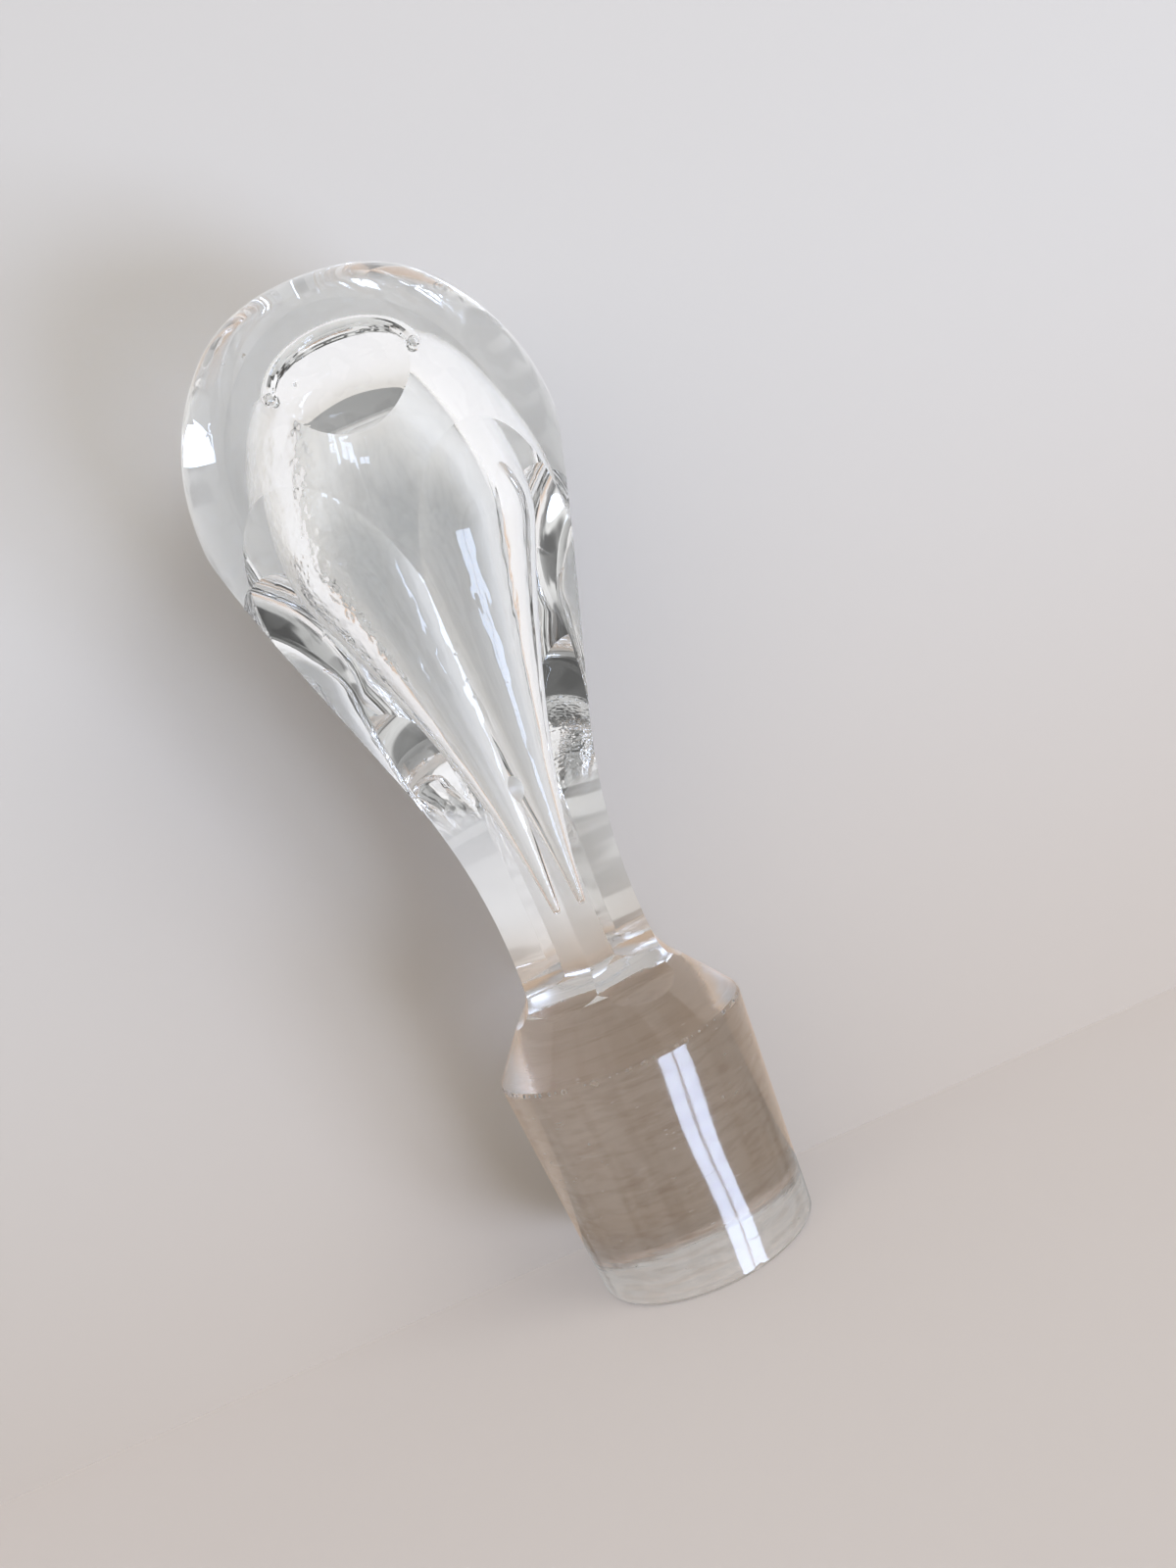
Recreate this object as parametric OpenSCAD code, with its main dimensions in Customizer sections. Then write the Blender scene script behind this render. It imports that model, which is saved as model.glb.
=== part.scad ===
// Cut-glass decanter stopper: a ground plug, a neck cut with flat panels and a round
// head with a closed pear-shaped bubble inside. One piece of clear glass.
// Millimetres. It stands on its plug, with the middle of the plug's foot at the origin.

/* [Plug] */
// Height of the ground plug, from its foot to its upper edge
plug_height = 21.9; // [12:0.1:40]
// Diameter of the plug at its upper edge
plug_top_d = 24; // [20:0.1:34]
// Diameter of the plug at its foot
plug_foot_d = 21; // [16:0.1:30]
// Width of the ground edge around the foot
foot_edge = 0.4; // [0.1:0.1:1.5]
// Width of each side of the worn bevel along the plug's upper edge
edge_wear = 0.25; // [0.1:0.05:0.6]

/* [Shoulder] */
// Height of the sloping shoulder between the plug and the neck
shoulder_height = 5.4; // [3:0.1:9]
// Diameter of the shoulder where the neck starts, before the panels are cut
shoulder_top_d = 15.5; // [13:0.1:19]

/* [Head] */
// Overall height of the stopper
overall_height = 94.8; // [85:0.1:115]
// Largest diameter of the head
head_d = 33.9; // [30:0.1:44]
// Distance from the top of the head down to its widest place
head_widest_drop = 17.3; // [14:0.1:24]
// Radius of the flattened crown
crown_radius = 80; // [40:1:160]
// Radius of the curve between the crown and the flank
crown_edge_radius = 10.2; // [7:0.1:13]
// Radius of the flank above the widest place
upper_flank_radius = 20; // [17:0.1:40]
// Radius of the flank below the widest place
lower_flank_radius = 50; // [35:1:90]

/* [Panels] */
// Number of flat panels cut around the neck
panel_count = 6; // [5:1:8]
// Distance across the flats at the waist, the thinnest place of the neck
waist_across_flats = 12.3; // [9:0.1:14]
// Height of the waist above the top of the shoulder
waist_rise = 6.2; // [4.5:0.1:10]
// Radius of the hollow that the cutting wheel leaves along a panel
wheel_radius = 58.5; // [35:0.5:80]
// Lean of the straight upper stretch of a panel away from the axis, in degrees
panel_lean = 17.3; // [10:0.1:22]
// Radius of the curve in which a panel runs out on the shoulder
runout_radius = 4; // [1.5:0.1:5]
// Distance from the top of the shoulder down to where the middle of a panel ends
runout_drop = 1.1; // [0.2:0.1:2]
// Angle between the end of a panel's run-out and the shoulder, in degrees
runout_step = 19; // [12:1:40]

/* [Bubble] */
// Largest diameter of the closed bubble, a pear with a long point
bubble_d = 18.4; // [14:0.1:21]
// Distance from the top of the head down to the bubble's widest place
bubble_widest_drop = 22; // [20:0.1:28]
// Glass between the top of the pear and the top of the head
bubble_cover = 8.2; // [6.5:0.1:11]
// Length of the bubble from its top to its tip
bubble_length = 51.6; // [40:0.1:56]
// Radius of the bubble's flank above its widest place
bubble_flank_radius = 22; // [20:0.1:30]
// Radius of the bubble's belly below its widest place
bubble_belly_radius = 10.3; // [8:0.1:14]
// Radius of the hollow curve in which the bubble draws out to its point
bubble_taper_radius = 135; // [100:1:400]
// Diameter of the bubble's rounded tip
bubble_tip_d = 0.8; // [0.4:0.1:2]
// Distance between the bubble's axis and the stopper's axis
bubble_shift = 0.5; // [0:0.1:1]

/* [Pressed face] */
// Distance from the top of the head down to the lower edge of the bubble's pressed face
press_edge_drop = 15.3; // [13:0.1:17]
// Slope of the pressed face at its lower edge, in degrees away from upright
press_slope = 33.3; // [30:0.1:40]
// Radius of the pressed face from its lower edge to its upper rim
press_radius = 22; // [19:0.1:30]
// Radius of the pressed face from side to side, at its lower edge
press_girth = 34; // [28:0.1:50]
// Thickness of the thin fold of air around the face's upper rim
fold_thickness = 1; // [0.6:0.1:1.4]
// How far the middle of the fold stands out from the rim
fold_stand = 0.2; // [0.1:0.1:0.3]
// Part of a turn that the fold takes, in degrees
fold_sweep = 152; // [100:1:170]

/* [Hidden] */
$fn = 128;
fine_steps = 720;
far = 200;
overlap = 1;

// How far each panel stands out from the even cut, in turn around the neck.
panel_stand = [0, 0.2, 0, 0, 0, 0, 0, 0];
// How much further each panel leans out than the even cut, in degrees.
panel_tilt = [0, -0.4, 0, 0, 0, 0, 0, 0];
// How much lower each panel is cut than the even cut.
panel_sink = [0.35, 0, 0, 0, 0, -0.25, 0, 0];
// Chips along the plug's upper edge: direction around the axis and size.
edge_chips = [[-171, 0.35], [-138, 0.3], [-122, 0.35], [-107, 0.6], [-92, 0.35],
    [-84, 0.4], [-64, 0.5], [-39, 0.4]];
// Chips along the foot's edge: direction around the axis and size.
foot_chips = [[-110, 0.3], [-97, 0.4], [-86, 0.5], [-78, 0.4], [-70, 0.8]];
// Nicks in the front edge between two panels: distance from the axis, height and size.
ridge_nicks = [[13.5, 59.8, 0.3], [12.65, 57.4, 0.4], [12.05, 55.9, 0.25]];
// The flake that is off the same edge: distance from the axis, height, depth and ball radius.
flake = [9.05, 47.4, 0.45, 2.3];
// How far a flake's hollow faces down, in degrees.
flake_dip = 16;
// A chip is a ball that stands out from the edge by this share of its radius.
chip_stand = 0.33;
chip_steps = 32;
// How much bigger the fold's round ends are than the fold, so that they meet in a clean line.
fold_end_swell = 1.04;
// How far the tool that presses the bubble's face reaches below the face.
press_room = 4;

plug_top_r = plug_top_d / 2;
plug_foot_r = plug_foot_d / 2;
foot_corner = [plug_foot_r, foot_edge];
plug_edge = [plug_top_r, plug_height];
shoulder_top_r = shoulder_top_d / 2;
shoulder_top_z = plug_height + shoulder_height;
head_r = head_d / 2;
widest_z = overall_height - head_widest_drop;
waist_z = shoulder_top_z + waist_rise;
waist_flat = waist_across_flats / 2;
bubble_r = bubble_d / 2;
tip_r = bubble_tip_d / 2;
bubble_top_z = overall_height - bubble_cover;
bubble_tip_z = bubble_top_z - bubble_length;
bubble_widest_z = overall_height - bubble_widest_drop;
press_edge_z = overall_height - press_edge_drop;

// Centres of the arcs that make up the head's outline.
crown_centre = [0, overall_height - crown_radius];
upper_flank_centre = [head_r - upper_flank_radius, widest_z];
lower_flank_centre = [head_r - lower_flank_radius, widest_z];
crown_edge_centre = inside_two(crown_centre, crown_radius,
    upper_flank_centre, upper_flank_radius, crown_edge_radius);

// The blank's straight side runs from the shoulder's top to where it touches the lower flank.
side_start = [shoulder_top_r, shoulder_top_z];
side_end = touch_point(side_start, lower_flank_centre, lower_flank_radius);

// The wheel's place beside the waist, and where and how steeply a panel runs out on the shoulder.
wheel_centre = [waist_flat + wheel_radius, waist_z];
shoulder_way = (plug_edge - side_start) / norm(plug_edge - side_start);
runout_end = side_start - shoulder_way * runout_drop / shoulder_way[1];
runout_fall = -bearing(shoulder_way) - runout_step;
runout_way = dir(-runout_fall);
runout_centre = inside_above(wheel_centre, wheel_radius, runout_end, -runout_fall, runout_radius);
straight_start = wheel_centre + wheel_radius * dir(180 - panel_lean);

// Centres of the arcs that make up the pear's outline, and the radius of the dome on top.
pear_flank_centre = [bubble_r - bubble_flank_radius, bubble_widest_z];
belly_centre = [bubble_r - bubble_belly_radius, bubble_widest_z];
pear_rise = bubble_top_z - bubble_widest_z;
dome_r = (bubble_flank_radius ^ 2 - pear_flank_centre[0] ^ 2 - pear_rise ^ 2)
    / (2 * (bubble_flank_radius - pear_rise));
dome_centre = [0, bubble_top_z - dome_r];
taper_centre = outside_through([tip_r, bubble_tip_z + tip_r], bubble_taper_radius,
    belly_centre, bubble_belly_radius);
taper_touch = belly_centre + bubble_belly_radius * dir(bearing(taper_centre - belly_centre));

// The pressed face belongs to a ring about an upright line behind the bubble. These are the
// pear's radius at the face's lower edge, the ring's radius, its height and the line's place.
press_edge_r = pear_flank_centre[0]
    + sqrt(bubble_flank_radius ^ 2 - (press_edge_z - bubble_widest_z) ^ 2);
press_ring_r = press_girth - press_radius * cos(press_slope);
press_z = press_edge_z - press_radius * sin(press_slope);
press_axis_y = press_girth - press_edge_r;
press_from_z = press_edge_z - press_room;

// The face's upper rim, from the ring's and the dome's circles where they cross above the
// middle of the front: the way between their centres, the rim's distance and its radius.
press_centre = [press_axis_y - press_ring_r, press_z];
rim_way = dome_centre - press_centre;
rim_distance = (norm(rim_way) ^ 2 + press_radius ^ 2 - dome_r ^ 2) / (2 * norm(rim_way));
rim_r = sqrt(press_radius ^ 2 - rim_distance ^ 2);
fold_centre = press_centre + (rim_distance + fold_stand) * rim_way / norm(rim_way);
fold_lean = bearing(rim_way) - 90;

function dir(angle) = [cos(angle), sin(angle)];
function bearing(v) = atan2(v[1], v[0]);
function toward(from, to, distance) = from + distance * (to - from) / norm(to - from);

// Centre of a circle of radius r that touches circles 1 and 2 from inside, on their outer side.
function inside_two(c1, r1, c2, r2, r) =
    let (gap = norm(c2 - c1), along = (c2 - c1) / gap,
         x = ((r1 - r) ^ 2 - (r2 - r) ^ 2 + gap ^ 2) / (2 * gap),
         y = sqrt((r1 - r) ^ 2 - x ^ 2))
    c1 + x * along + y * [along[1], -along[0]];

// Centre of a circle of radius r inside a big circle, on its near side, that rests on a line
// through point p at an angle.
function inside_above(c, big_r, p, angle, r) =
    let (way = dir(angle), start = p + r * dir(angle + 90) - c, along = start * way)
    c + start - (along + sqrt(along ^ 2 - start * start + (big_r - r) ^ 2)) * way;

// Centre of a circle of radius r that runs through point p and touches a circle from outside.
function outside_through(p, r, c, cr) =
    let (gap = norm(c - p), along = (c - p) / gap,
         x = (r ^ 2 - (r + cr) ^ 2 + gap ^ 2) / (2 * gap),
         y = sqrt(r ^ 2 - x ^ 2))
    p + x * along + y * [along[1], -along[0]];

// Where a line from point p touches the outer side of a circle.
function touch_point(p, c, r) =
    c + r * dir(bearing(p - c) + acos(r / norm(p - c)));

// Rounds off the corner of a flat outline between two directions with a circle that touches it.
module rounded_corner(centre, r, from, to) {
    difference() {
        children();
        polygon([centre, centre + far * dir(from), centre + far * dir((from + to) / 2),
            centre + far * dir(to)]);
    }
    translate(centre) circle(r);
}

// Flat outline of the plug, the shoulder and the straight side of the blank.
module lower_outline() {
    polygon([
        [0, 0], [plug_foot_r - foot_edge, 0], foot_corner,
        toward(plug_edge, foot_corner, edge_wear), toward(plug_edge, side_start, edge_wear),
        side_start, side_end, [0, side_end[1]]
    ]);
}

// Flat outline of the flank between the straight side and the widest place. It starts lower
// than it shows, inside the straight side.
module flank_outline() {
    intersection() {
        translate(lower_flank_centre) circle(lower_flank_radius);
        translate([0, side_end[1] - overlap]) square([head_d, widest_z - side_end[1] + overlap]);
    }
}

// Flat outline of the head above its widest place. It starts lower than it shows, inside the
// lower flank.
module crown_outline() {
    intersection() {
        rounded_corner(crown_edge_centre, crown_edge_radius,
            bearing(crown_edge_centre - upper_flank_centre),
            bearing(crown_edge_centre - crown_centre))
            intersection() {
                translate(crown_centre) circle(crown_radius);
                translate(upper_flank_centre) circle(upper_flank_radius);
            }
        translate([0, widest_z - overlap]) square([head_d, overall_height]);
    }
}

// The whole turned blank before cutting.
module blank() {
    rotate_extrude() union() {
        lower_outline();
        flank_outline();
        crown_outline();
    }
}

// Flat outline of the glass that the wheel takes away beside one panel.
module cut_outline() {
    rounded_corner(runout_centre, runout_radius,
        bearing(runout_centre - wheel_centre) + 360, 270 - runout_fall)
        intersection() {
            translate(wheel_centre) circle(wheel_radius);
            polygon([runout_end - far * runout_way, runout_end + far * runout_way,
                runout_end + far * (runout_way + dir(90 - runout_fall)),
                runout_end - far * (runout_way - dir(90 - runout_fall))]);
        }
    polygon([wheel_centre, straight_start, straight_start + far * dir(90 - panel_lean), [far, far]]);
}

// The wheel's cut for one panel, as wide as the head. It leans about the waist.
module panel_cut(i) {
    translate([waist_flat + panel_stand[i], 0, waist_z - panel_sink[i]])
        rotate([0, panel_tilt[i], 0])
            translate([-waist_flat, 0, -waist_z])
                rotate([90, 0, 0])
                    linear_extrude(head_d, center = true) cut_outline();
}

// Flat outline of the pear above its widest place, with the dome on top.
module pear_top_outline() {
    intersection() {
        rounded_corner(dome_centre, dome_r, bearing(dome_centre - pear_flank_centre), 90)
            translate(pear_flank_centre) circle(bubble_flank_radius);
        translate([0, bubble_widest_z]) square(bubble_length);
    }
}

// Flat outline of the pear's belly. It starts lower and ends higher than it shows, inside the
// outlines below and above it.
module belly_outline() {
    intersection() {
        translate(belly_centre) circle(bubble_belly_radius);
        translate([0, taper_touch[1] - overlap])
            square([bubble_d, bubble_widest_z - taper_touch[1] + 2 * overlap]);
    }
}

// Flat outline of the long point, with its small round tip.
module taper_outline() {
    difference() {
        translate([0, bubble_tip_z + tip_r])
            square([bubble_d, taper_touch[1] - bubble_tip_z - tip_r]);
        translate(taper_centre) circle(bubble_taper_radius, $fn = fine_steps);
    }
    intersection() {
        translate([0, bubble_tip_z + tip_r]) circle(tip_r);
        translate([0, bubble_tip_z]) square([bubble_tip_d, tip_r + overlap]);
    }
}

// The whole pear before its upper front is pressed in.
module pear() {
    rotate_extrude() union() {
        taper_outline();
        belly_outline();
        pear_top_outline();
    }
}

// What presses the pear's upper front in: everything outside the ring, above a level.
module press_die() {
    translate([0, press_axis_y, 0]) rotate_extrude() difference() {
        translate([press_ring_r, press_from_z])
            square([press_girth, bubble_top_z + overlap - press_from_z]);
        translate([press_ring_r, press_z]) circle(press_radius);
    }
}

// The thin fold of air around the pressed face's upper rim, with round ends.
module fold() {
    translate([0, fold_centre[0], fold_centre[1]]) rotate([fold_lean, 0, 0]) {
        rotate([0, 0, 90 - fold_sweep / 2]) rotate_extrude(angle = fold_sweep)
            translate([rim_r + fold_stand, 0]) circle(fold_thickness / 2);
        for (side = [-1, 1]) {
            rotate([0, 0, 90 + side * fold_sweep / 2])
                translate([rim_r + fold_stand, 0, 0])
                    sphere(fold_thickness / 2 * fold_end_swell);
        }
    }
}

// The closed bubble, a little to one side of the stopper's axis.
module bubble() {
    translate([bubble_shift, 0, 0]) union() {
        difference() {
            pear();
            press_die();
        }
        fold();
    }
}

// One shell-shaped chip in an edge of radius r at height z.
module chip(angle, r, z, size) {
    rotate([0, 0, angle]) translate([r + size * chip_stand, 0, z]) sphere(size, $fn = chip_steps);
}

// What is off the front edge between two panels: three nicks and a shallow flake.
module ridge_chips() {
    for (n = ridge_nicks) {
        translate([0, -n[0], n[1]]) sphere(n[2], $fn = chip_steps);
    }
    translate([0, -flake[0], flake[1]]) rotate([flake_dip, 0, 0])
        translate([0, flake[2] - flake[3], 0]) sphere(flake[3]);
}

// The stopper: the blank less its panels, its bubble and its chips.
module stopper() {
    color([0.90, 0.93, 0.92, 0.5]) difference() {
        blank();
        for (i = [0 : panel_count - 1]) {
            rotate([0, 0, (i + 0.5) * 360 / panel_count - 90]) panel_cut(i);
        }
        bubble();
        for (c = edge_chips) {
            chip(c[0], plug_top_r, plug_height, c[1]);
        }
        for (c = foot_chips) {
            chip(c[0], plug_foot_r, 0, c[1]);
        }
        ridge_chips();
    }
}

stopper();
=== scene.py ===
"""A cut-glass decanter stopper with a closed bubble, standing on its ground plug."""
import math
import random

import bmesh
import bpy
from mathutils import Matrix, Vector


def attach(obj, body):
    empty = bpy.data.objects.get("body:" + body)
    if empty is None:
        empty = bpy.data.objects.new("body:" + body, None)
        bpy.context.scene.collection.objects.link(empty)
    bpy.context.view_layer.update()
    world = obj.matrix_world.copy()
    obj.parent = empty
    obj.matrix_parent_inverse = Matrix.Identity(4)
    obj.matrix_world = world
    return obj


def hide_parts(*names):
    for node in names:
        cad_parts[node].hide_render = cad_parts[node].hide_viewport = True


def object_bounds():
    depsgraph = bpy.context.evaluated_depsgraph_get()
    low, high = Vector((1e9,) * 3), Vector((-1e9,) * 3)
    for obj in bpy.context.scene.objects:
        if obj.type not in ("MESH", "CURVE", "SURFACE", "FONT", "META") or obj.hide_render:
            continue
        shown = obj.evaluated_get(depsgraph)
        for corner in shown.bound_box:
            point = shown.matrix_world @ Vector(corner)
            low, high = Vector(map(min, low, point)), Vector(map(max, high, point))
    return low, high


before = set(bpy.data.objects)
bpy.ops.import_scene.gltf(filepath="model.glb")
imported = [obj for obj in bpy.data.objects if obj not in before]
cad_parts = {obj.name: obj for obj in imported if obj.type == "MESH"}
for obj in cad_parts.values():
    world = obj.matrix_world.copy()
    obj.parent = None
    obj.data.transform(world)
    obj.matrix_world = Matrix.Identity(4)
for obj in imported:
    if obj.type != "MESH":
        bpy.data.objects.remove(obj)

MM = 0.001
CAD_LOW, CAD_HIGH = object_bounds()

# The overall height and the head's width come from the frame, the rest is in millimetres.
HEIGHT = CAD_HIGH.z / MM
HEAD_R = (CAD_HIGH.y - CAD_LOW.y) / 2 / MM

# The ground plug and the shoulder.
PLUG_HEIGHT = 21.9
PLUG_TOP_R = 12.0
PLUG_FOOT_R = 10.5
FOOT_EDGE = 0.4
EDGE_WEAR = 0.25
SHOULDER_TOP_Z = 27.3
SHOULDER_TOP_R = 7.75

# The head's outline.
WIDEST_Z = HEIGHT - 17.3
CROWN_RADIUS = 80.0
CROWN_EDGE_RADIUS = 10.2
UPPER_FLANK_RADIUS = 20.0
LOWER_FLANK_RADIUS = 50.0

# The panels. The wheel leaves a hollow of its own radius at the waist, a straight stretch above it
# and a small curve where a panel runs out on the shoulder. Each panel stands, tilts and sinks a
# little in its own way.
PANELS = 6
WAIST_Z = 33.5
WAIST_FLAT = 6.15
WHEEL_RADIUS = 58.5
PANEL_LEAN = 17.3
RUNOUT_RADIUS = 4.0
RUNOUT_DROP = 1.1
RUNOUT_STEP = 19.0
PANEL_STAND = (0, 0.2, 0, 0, 0, 0)
PANEL_TILT = (0, -0.4, 0, 0, 0, 0)
PANEL_SINK = (0.35, 0, 0, 0, 0, -0.25)
CUT_LENGTH = 70.0

# The bubble is a pear with a long point. Its upper front is pressed in to a nearly flat face,
# and a thin fold of air runs around that face's upper rim.
BUBBLE_R = 9.2
BUBBLE_WIDEST_Z = HEIGHT - 22.0
BUBBLE_TOP_Z = HEIGHT - 8.2
BUBBLE_TIP_Z = BUBBLE_TOP_Z - 51.6
BUBBLE_TIP_R = 0.4
BUBBLE_FLANK_RADIUS = 22.0
BUBBLE_BELLY_RADIUS = 10.3
BUBBLE_TAPER_RADIUS = 135.0
BUBBLE_SHIFT = 0.5
PRESS_RADIUS = 22.0
PRESS_RING_R = 15.61
PRESS_AXIS_Y = 25.87
PRESS_Z = HEIGHT - 27.38
PRESS_SPAN = (20, 80)
PRESS_HALF_SWEEP = 25.0
FOLD_RADIUS = 5.1
FOLD_CENTRE = Vector((0, -4.31, HEIGHT - 11.37))
FOLD_LEAN = 42.3
FOLD_THICKNESS = 1.0
FOLD_HALF_SWEEP = 76.0
FOLD_END_SWELL = 1.01

# Chips around the plug's upper edge and its foot: direction around the axis and size. Each stands
# out from its edge by a share of its size, and is stretched and flattened within these ranges.
CHIP_SEED = 7
CHIP_STAND = 0.33
CHIP_STRETCH = (0.8, 1.5)
CHIP_FLATNESS = (0.6, 1)
EDGE_CHIPS = ((-107, 0.6), (-92, 0.35), (-84, 0.4), (-64, 0.5), (-39, 0.4), (-138, 0.3), (-171, 0.35),
              (-122, 0.35))
FOOT_CHIPS = ((-110, 0.3), (-97, 0.4), (-86, 0.5), (-78, 0.4), (-70, 0.8))
# Fine nicks all along both edges: how many to an edge, their smallest and largest size, and how far
# each strays from its even place, as a share of the step between two.
FINE_NICKS = 72
FINE_NICK_STRAY = 0.3
FINE_NICK_SIZES = (0.12, 0.28)
# Small pits and nicks elsewhere: place and size.
PITS = (((0.15, -13.5, 59.8), 0.3), ((0.24, -12.65, 57.4), 0.4), ((0.21, -12.05, 55.9), 0.25),
        ((-8.0, -10.8, 88.85), 0.2), ((-6.1, -12.3, 88.45), 0.25), ((-3.05, -15.6, 84.0), 0.2),
        ((-6.05, -9.95, 16.6), 0.15), ((0.65, -11.45, 13.75), 0.14), ((6.3, -9.7, 15.6), 0.16))
# The flake that is off the front ridge: place, radius of its hollow and the way it faces.
FLAKE_PLACE = Vector((0.45, -9.05, 47.4))
FLAKE_RADIUS = 2.3
FLAKE_DEPTH = 0.45
FLAKE_FACING = Vector((0.12, -0.95, -0.28))

# How finely the meshes are made.
SPIN_STEPS = 256
SWEEP_STEPS = 96
MERGE_DISTANCE = 0.003
WELD_DISTANCE = 0.001
SHARP_ANGLE = math.radians(9)
# Degrees from point to point along an arc, the longest arcs first.
LONG_ARC_STEP = 0.5
PRESS_STEP = 0.75
FLANK_STEP = 1.0
ARC_STEP = 1.5
RUNOUT_ARC_STEP = 3.0
FOLD_STEP = 15.0
TIP_STEP = 30.0
FOLD_END_SEGMENTS = 24
FLAKE_SEGMENTS = 48

# Glass. Heights and places are in millimetres. A pair gives where a change starts and ends, and a
# stretch makes a pattern finer or longer along X, Y and Z.
GLASS_TINT = (0.985, 0.99, 0.985)
GLASS_IOR = 1.5
CHIP_ROUGHNESS = 0.35
# What lies inside this cone, which widens upwards, is the bubble's surface.
BUBBLE_CONE_Z = 45.0
BUBBLE_CONE_R = 5.0
BUBBLE_CONE_SPREAD = 0.28
BUBBLE_CONE_EDGE = (0, 0.2)
BUBBLE_CONE_TOP = (89.2, 88.8)
EVEN = (1, 1, 1)
RIPPLE_HEIGHT = 0.13
RIPPLE_SCALE = 1.1
RIPPLE_SIDE = (-2.5, -4.5)
RIPPLE_START = (58, 64)
RIPPLE_END = (84, 81)
DRAWN_HEIGHT = 0.04
DRAWN_SCALE = 1.6
DRAWN_STRETCH = (1, 1, 0.04)
DRAWN_TOP = (72, 62)
PLUG_TOP = (22.3, 21.7)
PLUG_START = (0.3, 0.6)
TURNED_TOP = (31, 28)
FOOT_TOP = (0.45, 0.35)
RING_HEIGHT = 0.02
RING_SCALE = 2.2
RING_STRETCH = (0.06, 0.06, 1)
WAVE_HEIGHT = 0.04
PLUG_WAVE_HEIGHT = 0.3
WAVE_SCALE = 0.12
PLUG_ROUGHNESS = 0.1
FOOT_ROUGHNESS = 0.5
SCRATCH_ROUGHNESS = 0.3
SCRATCH_SCALE = 1.7
SCRATCH_STRETCH = (0.5, 0.5, 2.4)
SCRATCH_RANGE = (0.25, 0.28)
# Brown streaking painted into the plug's colour: painted shade, the shadowed paper seen through it.
STREAK_SCALE = 1.5
STREAK_STRETCH = (0.25, 0.25, 1)
STREAK_RANGE = (-0.05, 0.15)
PAINTED_SHADE_STREAK_TINT = (0.86, 0.82, 0.78)

# The main view: the camera faces a ridge, a little above the middle, and is rolled.
RIDGE_TURN = 2.0
CAMERA_PLACE = Vector((6.43, -129.52, 56.06)) * MM
CAMERA_RIGHT = Vector((0.9206, -0.0345, -0.3890))
CAMERA_UP = Vector((0.3905, 0.0812, 0.9170))
CAMERA_LENS = 32.44
CAMERA_SENSOR = 36.0
CAMERA_CLIP = (0.01, 20.0)

# The stage. The backdrop starts behind the stopper, and its slope says how far it leans back.
BACK_START_Y = 11.0
BACK_SLOPE = 0.083
STAGE_SIZE = 3000.0
PAPER_LOW = (0.45, 0.40, 0.355)
PAPER_HIGH = (0.52, 0.505, 0.49)
PAPER_FADE = (-20, 90)
FLOOR_GLOW = (0.192, 0.19, 0.206)
FLOOR_SEEN_TO = (40, 60)
BACKDROP_GLOW = (0.0, 0.0, 0.0)
# What the glass alone shows of the paper is painted light and shade: a pale painted glow above,
# browner paper below as painted shade of the shadowed paper behind the plug, and a painted grey
# glow under the foot.
SEEN_PAINTED_SHADE = (0.5, 0.37, 0.27)
GLASS_PAINTED_GLOW_HIGH = (0.25, 0.254, 0.258)
GLASS_PAINTED_GLOW_LOW = (0.085, 0.08, 0.075)
GLASS_PAINTED_GLOW_FOOT = (0.42, 0.42, 0.42)
GLASS_FADE = (22, 36)
FOOT_FADE = (10.3, 10.8)

# How many times light is followed through or around inside the glass.
GLASS_BOUNCES = 16

# The window and the lamps. Sizes and distances of lamps are in metres, their power in watts.
LAMP_DISTANCE = 0.9
DAYLIGHT = (0.9, 0.94, 1.0)
WINDOW_SKY = (0.62, 0.74, 1.0)
WINDOW_WAY = (0.57, -0.73, -0.54)
PANE_SIZE = (0.19, 0.26)
PANE_GAP = 0.03
PANE_POWER = 2.8
SOFT_SIZE = (0.5, 0.4)
WINDOW_LIGHT_POWER = 2.4
UPPER_WAY = (0.65, -0.6, 0.45)
UPPER_LIGHT_POWER = 2.6

# The room around the stage: its top is straight in front of the backdrop.
ROOM_TOP = (0, -0.9966, 0.0827)
ROOM_FADE = (0.0, 0.6)
ROOM_BRIGHT = 1.2
ROOM_DARK = 0.55
# Its colour in the glass, in the soft light that it gives, and straight into the camera.
ROOM_SEEN = (0.7, 0.7, 0.695)
ROOM_WARM = (1.0, 0.965, 0.92)
PALE = (0.8, 0.78, 0.75)
# A darker wall, and darker things all around.
WALL_START = (0.35, 0.65)
WALL_END = (0.95, 0.8)
WALL_DARK = 0.5
THINGS_SCALE = 5.0
THINGS_RANGE = (0.48, 0.58)
THINGS_DARK = 0.85
# The dark place of the camera: how wide it is, how high, and how far round to the front.
CAMERA_ACROSS = (0.22, 0.3)
CAMERA_UPRIGHT = (0.42, 0.55)
CAMERA_FRONT = (0.0, 0.1)
CAMERA_DARK = 0.15


# ---------------------------------------------------------------- outlines

def direction(angle):
    return Vector((math.cos(math.radians(angle)), math.sin(math.radians(angle))))


def bearing(way):
    return math.degrees(math.atan2(way.y, way.x))


def arc(centre, radius, start, end, step=ARC_STEP):
    """Points along an arc, one every step degrees or so, both ends included."""
    count = max(2, math.ceil(abs(end - start) / step))
    return [centre + radius * direction(start + (end - start) * i / count) for i in range(count + 1)]


def centre_inside_two(first, first_radius, second, second_radius, radius):
    """Centre of a circle that touches two circles from inside, on their outer side."""
    gap = (second - first).length
    along = (second - first) / gap
    reach, other_reach = first_radius - radius, second_radius - radius
    x = (reach ** 2 - other_reach ** 2 + gap ** 2) / (2 * gap)
    y = math.sqrt(reach ** 2 - x ** 2)
    return first + x * along + y * Vector((along.y, -along.x))


def touch_angle(point, centre, radius):
    """Bearing, from the circle's centre, of where a line from the point touches its outer side."""
    return bearing(point - centre) + math.degrees(math.acos(radius / (point - centre).length))


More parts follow.
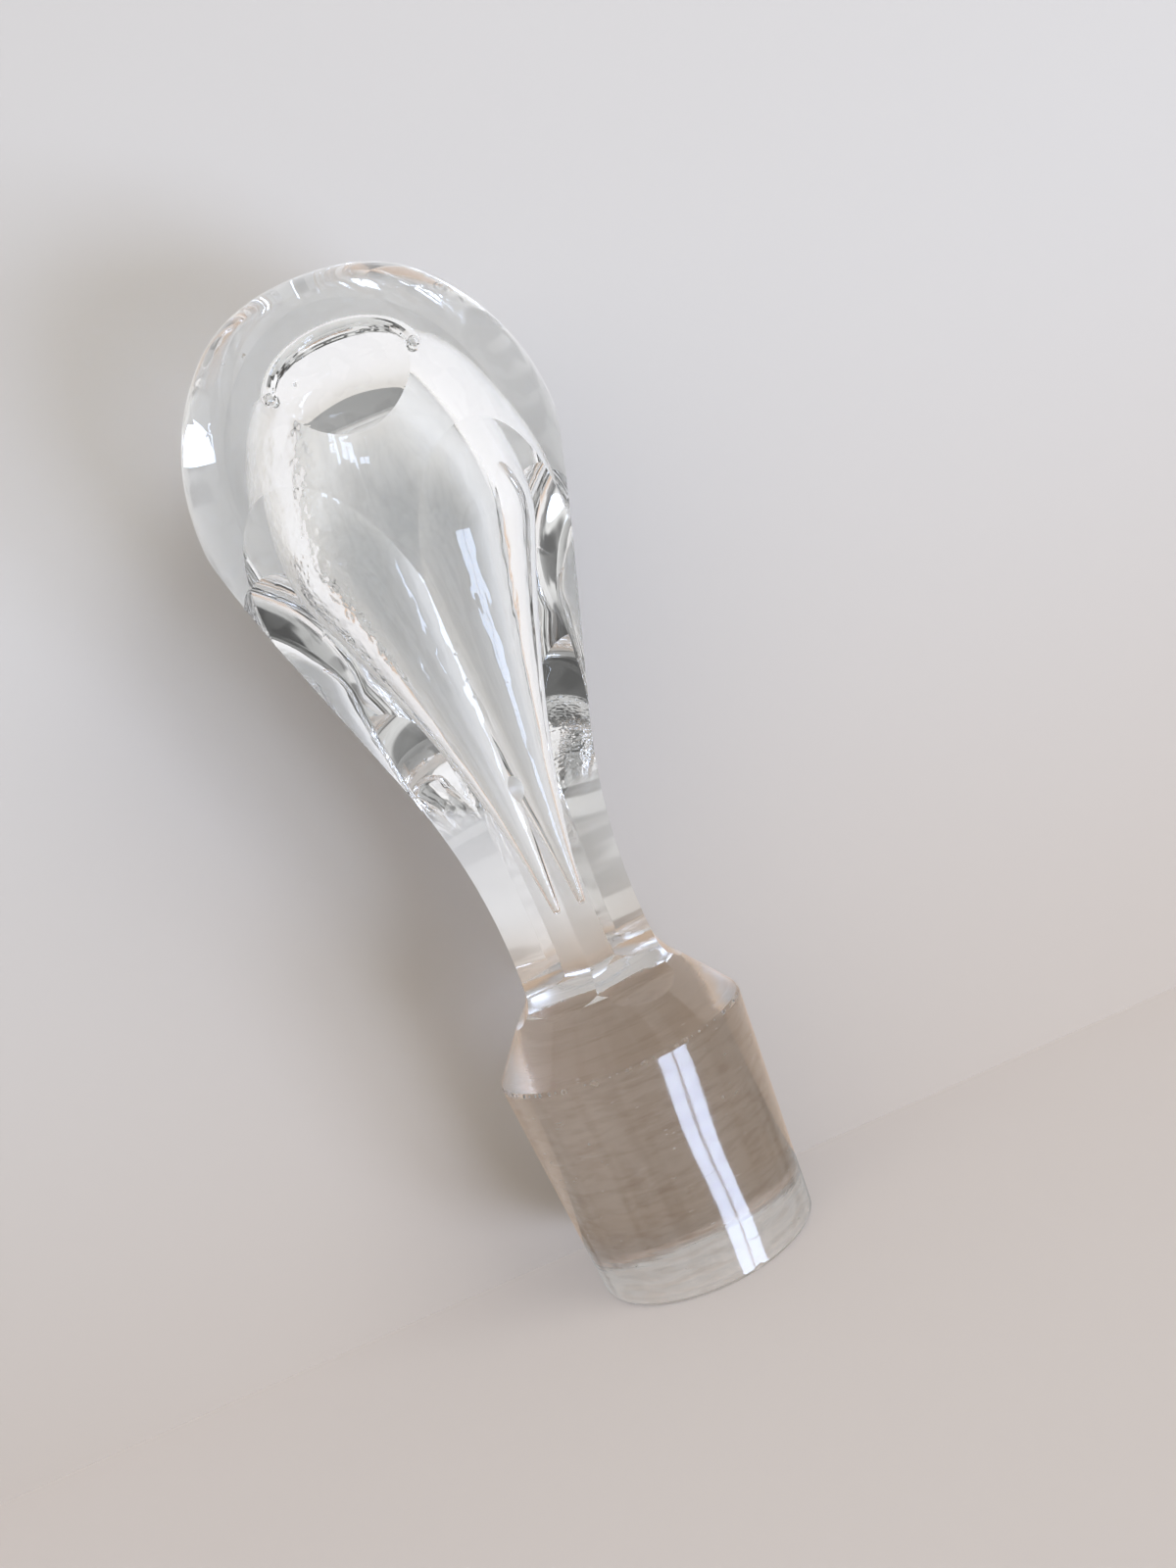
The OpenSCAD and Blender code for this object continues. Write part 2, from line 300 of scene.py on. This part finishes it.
def blank_outline():
    """The turned blank's outline, from the middle of the foot to the middle of the crown."""
    crown = Vector((0, HEIGHT - CROWN_RADIUS))
    upper = Vector((HEAD_R - UPPER_FLANK_RADIUS, WIDEST_Z))
    lower = Vector((HEAD_R - LOWER_FLANK_RADIUS, WIDEST_Z))
    edge = centre_inside_two(crown, CROWN_RADIUS, upper, UPPER_FLANK_RADIUS, CROWN_EDGE_RADIUS)
    shoulder_top = Vector((SHOULDER_TOP_R, SHOULDER_TOP_Z))
    side_angle = touch_angle(shoulder_top, lower, LOWER_FLANK_RADIUS)
    upper_end = bearing(edge - upper)
    crown_start = bearing(edge - crown)
    foot, edge_point = Vector((PLUG_FOOT_R, FOOT_EDGE)), Vector((PLUG_TOP_R, PLUG_HEIGHT))
    points = [Vector((0, 0)), Vector((PLUG_FOOT_R - FOOT_EDGE, 0)), foot,
              edge_point + (foot - edge_point).normalized() * EDGE_WEAR,
              edge_point + (shoulder_top - edge_point).normalized() * EDGE_WEAR, shoulder_top]
    points += arc(lower, LOWER_FLANK_RADIUS, side_angle, 0, FLANK_STEP)
    points += arc(upper, UPPER_FLANK_RADIUS, 0, upper_end)[1:]
    points += arc(edge, CROWN_EDGE_RADIUS, upper_end, crown_start)[1:]
    points += arc(crown, CROWN_RADIUS, crown_start, 90, LONG_ARC_STEP)[1:]
    points[-1].x = 0
    return points


def cut_outline():
    """Outline of the glass that the wheel takes away beside one panel."""
    wheel = Vector((WAIST_FLAT + WHEEL_RADIUS, WAIST_Z))
    shoulder = Vector((PLUG_TOP_R - SHOULDER_TOP_R, PLUG_HEIGHT - SHOULDER_TOP_Z))
    end = Vector((SHOULDER_TOP_R, SHOULDER_TOP_Z)) - shoulder * (RUNOUT_DROP / shoulder.y)
    fall = -bearing(shoulder) - RUNOUT_STEP
    way = direction(-fall)
    start = end + RUNOUT_RADIUS * direction(90 - fall) - wheel
    along = start.dot(way)
    reach = math.sqrt(along ** 2 - start.length_squared + (WHEEL_RADIUS - RUNOUT_RADIUS) ** 2)
    runout = wheel + start - (along + reach) * way
    foot_angle = bearing(runout - wheel) + 360
    points = arc(runout, RUNOUT_RADIUS, 270 - fall, foot_angle, RUNOUT_ARC_STEP)
    points += arc(wheel, WHEEL_RADIUS, foot_angle, 180 - PANEL_LEAN, LONG_ARC_STEP)[1:]
    points.append(points[-1] + CUT_LENGTH * direction(90 - PANEL_LEAN))
    points += [Vector((CUT_LENGTH, points[-1].y)), end + way * (CUT_LENGTH - end.x) / way.x]
    return points


def dome_radius(flank):
    """Radius of the dome that tops the pear and touches its flank from inside."""
    rise = BUBBLE_TOP_Z - flank.y
    return (BUBBLE_FLANK_RADIUS ** 2 - flank.x ** 2 - rise ** 2) / (2 * (BUBBLE_FLANK_RADIUS - rise))


def taper_centre(tip, belly):
    """Centre of the hollow arc that runs from beside the tip and touches the belly from outside."""
    gap = (belly - tip).length
    along = (belly - tip) / gap
    reach = BUBBLE_TAPER_RADIUS + BUBBLE_BELLY_RADIUS
    x = (BUBBLE_TAPER_RADIUS ** 2 - reach ** 2 + gap ** 2) / (2 * gap)
    y = math.sqrt(BUBBLE_TAPER_RADIUS ** 2 - x ** 2)
    return tip + x * along + y * Vector((along.y, -along.x))


def bubble_outline():
    """The pear's outline from its tip to its top."""
    tip = Vector((BUBBLE_TIP_R, BUBBLE_TIP_Z + BUBBLE_TIP_R))
    belly = Vector((BUBBLE_R - BUBBLE_BELLY_RADIUS, BUBBLE_WIDEST_Z))
    flank = Vector((BUBBLE_R - BUBBLE_FLANK_RADIUS, BUBBLE_WIDEST_Z))
    dome_r = dome_radius(flank)
    dome = Vector((0, BUBBLE_TOP_Z - dome_r))
    taper = taper_centre(tip, belly)
    belly_start = bearing(taper - belly)
    flank_end = bearing(dome - flank)
    points = arc(tip - Vector((BUBBLE_TIP_R, 0)), BUBBLE_TIP_R, -90, 0, TIP_STEP)
    points += arc(taper, BUBBLE_TAPER_RADIUS, bearing(tip - taper) % 360, belly_start + 180,
                  LONG_ARC_STEP)[1:]
    points += arc(belly, BUBBLE_BELLY_RADIUS, belly_start, 0)[1:]
    points += arc(flank, BUBBLE_FLANK_RADIUS, 0, flank_end, FLANK_STEP)[1:]
    points += arc(dome, dome_r, flank_end, 90)[1:]
    points[0].x = points[-1].x = 0
    return points


# ---------------------------------------------------------------- meshes

def new_object(name, bm):
    mesh = bpy.data.meshes.new(name)
    bm.to_mesh(mesh)
    bm.free()
    obj = bpy.data.objects.new(name, mesh)
    bpy.context.scene.collection.objects.link(obj)
    return obj


def lathe(name, outline):
    """Spins an outline around the Z axis into a closed form."""
    bm = bmesh.new()
    verts = [bm.verts.new((p.x * MM, 0, p.y * MM)) for p in outline]
    edges = [bm.edges.new(pair) for pair in zip(verts, verts[1:])]
    bmesh.ops.spin(bm, geom=verts + edges, cent=(0, 0, 0), axis=(0, 0, 1), dvec=(0, 0, 0),
                   angle=math.tau, steps=SPIN_STEPS, use_merge=True)
    bmesh.ops.remove_doubles(bm, verts=bm.verts, dist=WELD_DISTANCE * MM)
    bmesh.ops.recalc_face_normals(bm, faces=bm.faces)
    return new_object(name, bm)


def panel_cutter(index):
    """The wheel's cut for one panel, as wide as the head. It leans about the waist."""
    bm = bmesh.new()
    face = bm.faces.new([bm.verts.new((p.x * MM, -HEAD_R * MM, p.y * MM)) for p in cut_outline()])
    made = bmesh.ops.extrude_face_region(bm, geom=[face])["geom"]
    bmesh.ops.translate(bm, verts=[g for g in made if isinstance(g, bmesh.types.BMVert)],
                        vec=(0, 2 * HEAD_R * MM, 0))
    waist = Vector((WAIST_FLAT, 0, WAIST_Z)) * MM
    turn = math.radians((index + 0.5) * 360 / PANELS - 90)
    place = (Matrix.Rotation(turn, 4, "Z") @ Matrix.Translation((PANEL_STAND[index] * MM, 0, 0))
             @ Matrix.Translation(waist - Vector((0, 0, PANEL_SINK[index] * MM)))
             @ Matrix.Rotation(math.radians(PANEL_TILT[index]), 4, "Y") @ Matrix.Translation(-waist))
    bmesh.ops.transform(bm, matrix=place, verts=bm.verts)
    bmesh.ops.recalc_face_normals(bm, faces=bm.faces)
    return new_object(f"panel_cut_{index}", bm)


def combine(obj, operation, others):
    """Joins the others to the object, or takes them out of it, and leaves the plain mesh."""
    for other in others:
        step = obj.modifiers.new(other.name, "BOOLEAN")
        step.operation = operation
        step.solver = "MANIFOLD"
        step.object = other
    bpy.context.view_layer.update()
    graph = bpy.context.evaluated_depsgraph_get()
    bm = bmesh.new()
    bm.from_mesh(obj.evaluated_get(graph).to_mesh())
    obj.evaluated_get(graph).to_mesh_clear()
    bmesh.ops.dissolve_degenerate(bm, edges=bm.edges, dist=MERGE_DISTANCE * MM)
    obj.modifiers.clear()
    bm.to_mesh(obj.data)
    bm.free()
    for other in others:
        bpy.data.objects.remove(other)
    return obj


def ball(name, centre, radius, segments):
    bm = bmesh.new()
    bmesh.ops.create_uvsphere(bm, u_segments=segments, v_segments=segments // 2, radius=radius * MM,
                              matrix=Matrix.Translation(centre * MM))
    return new_object(name, bm)


def sweep(name, loop, half_angle):
    """Sweeps a closed outline, given in the XZ plane, both ways around the Z axis."""
    bm = bmesh.new()
    verts = [bm.verts.new((p.x * MM, 0, p.y * MM)) for p in loop]
    edges = [bm.edges.new(pair) for pair in zip(verts, verts[1:] + verts[:1])]
    half = math.radians(half_angle)
    bmesh.ops.rotate(bm, verts=verts, cent=(0, 0, 0), matrix=Matrix.Rotation(-half, 3, "Z"))
    bmesh.ops.spin(bm, geom=verts + edges, cent=(0, 0, 0), axis=(0, 0, 1), dvec=(0, 0, 0),
                   angle=2 * half, steps=SWEEP_STEPS)
    bmesh.ops.holes_fill(bm, edges=bm.edges, sides=0)
    bmesh.ops.recalc_face_normals(bm, faces=bm.faces)
    return new_object(name, bm)


def press_tool():
    """What presses the pear's upper front in: a die with a shallow, barrel-shaped hollow face."""
    face = arc(Vector((PRESS_RING_R, PRESS_Z)), PRESS_RADIUS, *PRESS_SPAN, PRESS_STEP)
    die = sweep("press_tool", face + [Vector((face[0].x, face[-1].y))], PRESS_HALF_SWEEP)
    die.data.transform(Matrix.Translation((0, PRESS_AXIS_Y * MM, 0))
                       @ Matrix.Rotation(-math.pi / 2, 4, "Z"))
    return die


def fold():
    """The thin fold of air around the pressed face's upper rim, with round ends."""
    radius = FOLD_THICKNESS / 2
    tube = sweep("fold", arc(Vector((FOLD_RADIUS, 0)), radius, 0, 360, FOLD_STEP)[1:], FOLD_HALF_SWEEP)
    ends = [ball(f"fold_end_{side}", direction(side * FOLD_HALF_SWEEP).to_3d() * FOLD_RADIUS,
                 radius * FOLD_END_SWELL, FOLD_END_SEGMENTS) for side in (-1, 1)]
    combine(tube, "UNION", ends)
    tube.data.transform(Matrix.Translation(FOLD_CENTRE * MM)
                        @ Matrix.Rotation(math.radians(FOLD_LEAN), 4, "X")
                        @ Matrix.Rotation(math.pi / 2, 4, "Z"))
    return tube


def make_bubble():
    """The closed bubble, a little to one side of the axis."""
    bubble = lathe("bubble", bubble_outline())
    combine(bubble, "DIFFERENCE", [press_tool()])
    combine(bubble, "UNION", [fold()])
    bubble.data.transform(Matrix.Translation((BUBBLE_SHIFT * MM, 0, 0)))
    return bubble


def chips(name, places, rng):
    """Small, sharp-faced pieces to knock out of the glass, each with its place and size."""
    bm = bmesh.new()
    for place, size in places:
        made = bmesh.ops.create_icosphere(bm, subdivisions=1, radius=size * MM)["verts"]
        stretch = [rng.uniform(*ends) for ends in (CHIP_STRETCH, CHIP_FLATNESS, CHIP_FLATNESS)]
        bmesh.ops.scale(bm, verts=made, vec=stretch)
        turn = Matrix.Rotation(rng.uniform(0, math.tau), 3, rng.choice("XYZ"))
        bmesh.ops.rotate(bm, verts=made, cent=(0, 0, 0), matrix=turn)
        bmesh.ops.translate(bm, verts=made, vec=place * MM)
    return new_object(name, bm)


def edge_chips(name, radius, z, angles_and_sizes, rng):
    """The chips and the fine nicks along one round edge."""
    def place(angle, r):
        return direction(angle).to_3d() * r + Vector((0, 0, z))

    fine = []
    for number in range(FINE_NICKS):
        stray = rng.uniform(-FINE_NICK_STRAY, FINE_NICK_STRAY)
        fine.append((place((number + stray) * 360 / FINE_NICKS, radius), rng.uniform(*FINE_NICK_SIZES)))
    big = [chips(f"{name}_{i}", [(place(angle, radius + size * CHIP_STAND), size)], rng)
           for i, (angle, size) in enumerate(angles_and_sizes)]
    return [*big, chips(f"{name}_nicks", fine, rng)]


def make_chips():
    """All the chips, pits and the flake, as pieces of air to take out of the stopper."""
    rng = random.Random(CHIP_SEED)
    made = edge_chips("edge_chip", PLUG_TOP_R, PLUG_HEIGHT, EDGE_CHIPS, rng)
    made += edge_chips("foot_chip", PLUG_FOOT_R, 0, FOOT_CHIPS, rng)
    made += [chips(f"pit_{i}", [(Vector(place), size)], rng) for i, (place, size) in enumerate(PITS)]
    centre = FLAKE_PLACE + FLAKE_FACING * (FLAKE_RADIUS - FLAKE_DEPTH)
    return [*made, ball("flake", centre, FLAKE_RADIUS, FLAKE_SEGMENTS)]


def make_stopper(clear, chipped):
    """The whole stopper. Faces that a chip leaves take the second material."""
    stopper = lathe("cut_glass_stopper", blank_outline())
    cutters = [panel_cutter(i) for i in range(PANELS)] + [make_bubble()]
    knocked_out = make_chips()
    for obj in [stopper, *cutters, *knocked_out]:
        obj.data.materials.append(clear)
        obj.data.materials.append(chipped)
    for obj in knocked_out:
        for face in obj.data.polygons:
            face.material_index = 1
    combine(stopper, "DIFFERENCE", cutters + knocked_out)
    stopper.data.shade_smooth()
    stopper.data.set_sharp_from_angle(angle=SHARP_ANGLE)
    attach(stopper, "root")
    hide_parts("stopper")


# ---------------------------------------------------------------- materials

class Socket:
    """A shader socket that plain arithmetic can be written on."""

    def __init__(self, tree, link):
        self.tree = tree
        self.link = link

    def math(self, operation, *others):
        return self.tree.add("ShaderNodeMath", {"operation": operation}, (self, *others))

    def __add__(self, other):
        return self.math("ADD", other)

    def __sub__(self, other):
        return self.math("SUBTRACT", other)

    def __rsub__(self, other):
        return self.tree.add("ShaderNodeMath", {"operation": "SUBTRACT"}, (other, self))

    def __mul__(self, other):
        return self.math("MULTIPLY", other)

    def between(self, low, high):
        """0 below low and 1 above high, with an even, soft rise between them."""
        return self.tree.add("ShaderNodeMapRange", {"interpolation_type": "SMOOTHSTEP"},
                             {"Value": self, "From Min": low, "From Max": high})

    __radd__ = __add__
    __rmul__ = __mul__


class Tree:
    """A material's or a world's nodes, made one call at a time."""

    def __init__(self, owner):
        owner.use_nodes = True
        self.nodes = owner.node_tree.nodes
        self.links = owner.node_tree.links
        self.nodes.clear()

    def add(self, kind, settings=None, inputs=None, output=0):
        """Adds a node. Its settings come first, then its inputs, as values or sockets, and the
        number or the name of the output to go on with."""
        node = self.nodes.new(kind)
        for name, value in (settings or {}).items():
            setattr(node, name, value)
        pairs = inputs.items() if isinstance(inputs, dict) else enumerate(inputs or ())
        for key, value in pairs:
            if isinstance(value, Socket):
                self.links.new(value.link, node.inputs[key])
            else:
                node.inputs[key].default_value = value
        return Socket(self, node.outputs[output]) if len(node.outputs) else node

    def mix(self, share, low, high):
        """A colour between two colours, each a socket or plain numbers. The node has sockets of the
        same names for numbers and vectors, so its colour sockets go by number."""
        ends = [end if isinstance(end, Socket) else (*end, 1) for end in (low, high)]
        return self.add("ShaderNodeMix", {"data_type": "RGBA"}, {0: share, 6: ends[0], 7: ends[1]},
                        output=2)


def glass(name, surface):
    """Clear glass. The surface gives what isn't the same for all of it."""
    mat = bpy.data.materials.new(name)
    tree = Tree(mat)
    shader = tree.add("ShaderNodeBsdfPrincipled", inputs={
        "Base Color": (*GLASS_TINT, 1), "IOR": GLASS_IOR, "Transmission Weight": 1.0, **surface(tree)})
    tree.add("ShaderNodeOutputMaterial", inputs={"Surface": shader})
    return mat


def broken_surface(tree):
    return {"Roughness": CHIP_ROUGHNESS}


def polished_surface(tree):
    """The polished glass: ripples on the bubble's left flank, drawn lines along its point, and the
    fine rings and scratches of the ground plug, with brown streaking painted into the plug's colour
    as painted shade of the shadowed paper seen through it. Heights are in millimetres."""
    place = tree.add("ShaderNodeVectorMath", {"operation": "SCALE"},
                     {0: tree.add("ShaderNodeTexCoord", output="Object"), "Scale": 1 / MM})
    x = tree.add("ShaderNodeSeparateXYZ", inputs=(place,), output="X")
    z = tree.add("ShaderNodeSeparateXYZ", inputs=(place,), output="Z")
    flat = tree.add("ShaderNodeVectorMath", {"operation": "MULTIPLY"}, (place, (1, 1, 0)))
    radius = tree.add("ShaderNodeVectorMath", {"operation": "LENGTH"}, (flat,), output="Value")

    def noise(stretch, scale, detail):
        along = tree.add("ShaderNodeVectorMath", {"operation": "MULTIPLY"}, (place, stretch))
        return tree.add("ShaderNodeTexNoise", inputs={
            "Vector": along, "Scale": scale, "Detail": detail}) - 0.5

    cone = (z - BUBBLE_CONE_Z) * BUBBLE_CONE_SPREAD + BUBBLE_CONE_R
    bubble = (cone - radius).between(*BUBBLE_CONE_EDGE) * z.between(*BUBBLE_CONE_TOP)
    left = x.between(*RIPPLE_SIDE) * z.between(*RIPPLE_START) * z.between(*RIPPLE_END)
    ripples = noise(EVEN, RIPPLE_SCALE, 1) * bubble * left * RIPPLE_HEIGHT
    drawn = noise(DRAWN_STRETCH, DRAWN_SCALE, 0) * bubble * z.between(*DRAWN_TOP) * DRAWN_HEIGHT
    above_foot = z.between(*PLUG_START)
    plug = z.between(*PLUG_TOP) * above_foot
    rings = noise(RING_STRETCH, RING_SCALE, 3) * (z.between(*TURNED_TOP) * above_foot) * RING_HEIGHT
    uneven = plug * (PLUG_WAVE_HEIGHT - WAVE_HEIGHT) + WAVE_HEIGHT
    waviness = noise(EVEN, WAVE_SCALE, 0) * (1 - bubble) * uneven
    scratches = noise(SCRATCH_STRETCH, SCRATCH_SCALE, 1).between(*SCRATCH_RANGE) * plug
    ground = plug * PLUG_ROUGHNESS + z.between(*FOOT_TOP) * FOOT_ROUGHNESS
    # Painted shade: brown streaking in the plug's colour for the shadowed paper seen through it.
    painted_shade_streaks = noise(STREAK_STRETCH, STREAK_SCALE, 3).between(*STREAK_RANGE) * plug
    bump = tree.add("ShaderNodeBump", inputs={
        "Strength": 1.0, "Distance": MM, "Height": ripples + drawn + rings + waviness})
    return {"Base Color": tree.mix(painted_shade_streaks, GLASS_TINT, PAINTED_SHADE_STREAK_TINT),
            "Roughness": ground + scratches * SCRATCH_ROUGHNESS, "Normal": bump}


def paper(name, own_glow, seen_to=None):
    """Matt studio paper, cool and pale at the top and warmer below. Besides the light it shows a
    little glow of its own to the camera. What the glass shows of it is painted light and shade: a
    pale painted glow at the top, painted brown shade below and a painted grey glow under the foot."""
    mat = bpy.data.materials.new(name)
    tree = Tree(mat)
    place = tree.add("ShaderNodeTexCoord", output="Object")
    height = tree.add("ShaderNodeSeparateXYZ", inputs=(place,), output="Z") * (1 / MM)
    level = tree.add("ShaderNodeVectorMath", {"operation": "MULTIPLY"}, (place, (1 / MM, 1 / MM, 0)))
    reach = tree.add("ShaderNodeVectorMath", {"operation": "LENGTH"}, (level,), output="Value")
    camera = tree.add("ShaderNodeLightPath", output="Is Camera Ray")
    mirrored = tree.add("ShaderNodeLightPath", output="Is Glossy Ray")
    through = tree.add("ShaderNodeLightPath", output="Is Transmission Ray")
    color = tree.mix(height.between(*PAPER_FADE), PAPER_LOW, PAPER_HIGH)
    shown_high = height.between(*GLASS_FADE)
    in_glass = through.math("MAXIMUM", mirrored)
    # In the glass the paper is browner low down: painted shade of the shadowed paper behind the plug.
    paper_or_painted_shade = tree.mix(in_glass * (1 - shown_high), color, SEEN_PAINTED_SHADE)
    matt = tree.add("ShaderNodeBsdfDiffuse", inputs={"Color": paper_or_painted_shade})
    own = tree.add("ShaderNodeEmission", inputs={"Color": (*own_glow, 1), "Strength": camera})
    # A glow seen only in the glass, painted light: pale high up, dim low down, grey under the foot.
    shown = tree.mix(shown_high, GLASS_PAINTED_GLOW_LOW, GLASS_PAINTED_GLOW_HIGH)
    shown = tree.mix(reach.between(*FOOT_FADE), GLASS_PAINTED_GLOW_FOOT, shown)
    glow = tree.add("ShaderNodeEmission", inputs={"Color": shown, "Strength": in_glass})
    both = tree.add("ShaderNodeAddShader", inputs=(matt, own))
    both = tree.add("ShaderNodeAddShader", inputs=(both, glow))
    clear = tree.add("ShaderNodeBsdfTransparent")
    behind = tree.add("ShaderNodeNewGeometry", output="Backfacing")
    gone = behind.math("MAXIMUM", through * reach.between(*seen_to)) if seen_to else behind
    one_sided = tree.add("ShaderNodeMixShader", inputs=(gone, both, clear))
    tree.add("ShaderNodeOutputMaterial", inputs={"Surface": one_sided})
    return mat


# ---------------------------------------------------------------- stage, lights, camera

def turned(way):
    """A way or a place, turned around the stopper's axis as the camera is."""
    return Matrix.Rotation(math.radians(-RIDGE_TURN), 4, "Z") @ way


def make_camera():
    data = bpy.data.cameras.new("camera")
    data.lens = CAMERA_LENS
    data.sensor_width = CAMERA_SENSOR
    data.clip_start, data.clip_end = CAMERA_CLIP
    cam = bpy.data.objects.new("camera", data)
    right, up = turned(CAMERA_RIGHT), turned(CAMERA_UP)
    back = right.cross(up)
    rotation = Matrix((right, up, back)).transposed()
    cam.matrix_world = Matrix.Translation(turned(CAMERA_PLACE)) @ rotation.to_4x4()
    bpy.context.scene.collection.objects.link(cam)
    bpy.context.scene.camera = cam


def sheet(name, corners, material):
    bm = bmesh.new()
    bm.faces.new([bm.verts.new(c) for c in corners])
    obj = new_object(name, bm)
    obj.data.materials.append(material)
    return obj


def make_stage():
    """A pale floor, and a backdrop that rises close behind the stopper and leans back a little."""
    size = STAGE_SIZE * MM
    start = BACK_START_Y * MM
    top = start + BACK_SLOPE * size
    floor = sheet("floor", [(-size, -size, 0), (size, -size, 0), (size, start, 0), (-size, start, 0)],
                  paper("floor_paper", FLOOR_GLOW, FLOOR_SEEN_TO))
    sheet("backdrop", [(-size, start, 0), (size, start, 0), (size, top, size), (-size, top, size)],
          paper("backdrop_paper", BACKDROP_GLOW))
    floor.visible_shadow = False
    floor.visible_glossy = False


def lamp(name, way, aside, size, power, color, seen):
    """A soft rectangular lamp facing the stopper. A lamp that isn't seen gives light alone, and
    doesn't mirror in the glass. Aside moves it along its own width and height."""
    data = bpy.data.lights.new(name, "AREA")
    data.shape = "RECTANGLE"
    data.size, data.size_y = size
    data.energy = power
    data.color = color
    away = turned(Vector(way).normalized())
    turn = away.to_track_quat("Z", "Y")
    obj = bpy.data.objects.new(name, data)
    middle = Vector((0, 0, HEIGHT * MM / 2))
    obj.location = middle + away * LAMP_DISTANCE + turn @ Vector((*aside, 0))
    obj.rotation_euler = turn.to_euler()
    obj.visible_glossy = obj.visible_transmission = seen
    bpy.context.scene.collection.objects.link(obj)


def make_world():
    """A light room with darker walls and things in it, and a dark place where the camera stands."""
    world = bpy.data.worlds.new("studio")
    bpy.context.scene.world = world
    tree = Tree(world)
    way = tree.add("ShaderNodeTexCoord", output="Generated")

    def along(axis):
        return tree.add("ShaderNodeVectorMath", {"operation": "DOT_PRODUCT"}, (way, axis),
                        output="Value")

    diffuse = tree.add("ShaderNodeLightPath", output="Is Diffuse Ray")
    height = along(ROOM_TOP)
    up = along(turned(CAMERA_UP))
    across = along(turned(CAMERA_RIGHT)).math("ABSOLUTE")
    upright = up.math("ABSOLUTE")
    camera = ((1 - across.between(*CAMERA_ACROSS)) * (1 - upright.between(*CAMERA_UPRIGHT))
              * height.between(*CAMERA_FRONT))
    level = height.between(*ROOM_FADE) * (ROOM_BRIGHT - ROOM_DARK) + ROOM_DARK
    wall = up.between(*WALL_START) * up.between(*WALL_END) * (1 - diffuse)
    level = level * (1 - camera * CAMERA_DARK) * (1 - wall * WALL_DARK)
    things = tree.add("ShaderNodeTexNoise", inputs={
        "Vector": way, "Scale": THINGS_SCALE, "Detail": 1.0}).between(*THINGS_RANGE)
    level = level * (1 - things * THINGS_DARK * (1 - diffuse))
    color = tree.mix(diffuse, ROOM_SEEN, ROOM_WARM)
    room = tree.add("ShaderNodeBackground", inputs={"Color": color, "Strength": level})
    plain = tree.add("ShaderNodeBackground", inputs={"Color": (*PALE, 1), "Strength": 1.0})
    seen = tree.add("ShaderNodeLightPath", output="Is Camera Ray")
    both = tree.add("ShaderNodeMixShader", inputs=(seen, room, plain))
    tree.add("ShaderNodeOutputWorld", inputs={"Surface": both})


def make_lights():
    """A window of two panes that mirrors in the glass, the wider, softer light around it and one
    from above that gives the stopper its shadow on the floor."""
    for side in (-1, 1):
        aside = (side * (PANE_SIZE[0] + PANE_GAP) / 2, 0)
        lamp(f"window_pane_{side}", WINDOW_WAY, aside, PANE_SIZE, PANE_POWER, WINDOW_SKY, True)
    lamp("window_light", WINDOW_WAY, (0, 0), SOFT_SIZE, WINDOW_LIGHT_POWER, DAYLIGHT, False)
    lamp("upper_light", UPPER_WAY, (0, 0), SOFT_SIZE, UPPER_LIGHT_POWER, DAYLIGHT, False)
    make_world()


def follow_light_through_glass():
    """Light is followed through many reflections inside the glass, so that it doesn't turn black."""
    paths = bpy.context.scene.cycles
    paths.max_bounces = paths.transmission_bounces = paths.glossy_bounces = GLASS_BOUNCES


make_camera()
make_stopper(glass("clear_glass", polished_surface), glass("chipped_glass", broken_surface))
make_stage()
make_lights()
bpy.context.scene.view_settings.view_transform = "Standard"
follow_light_through_glass()
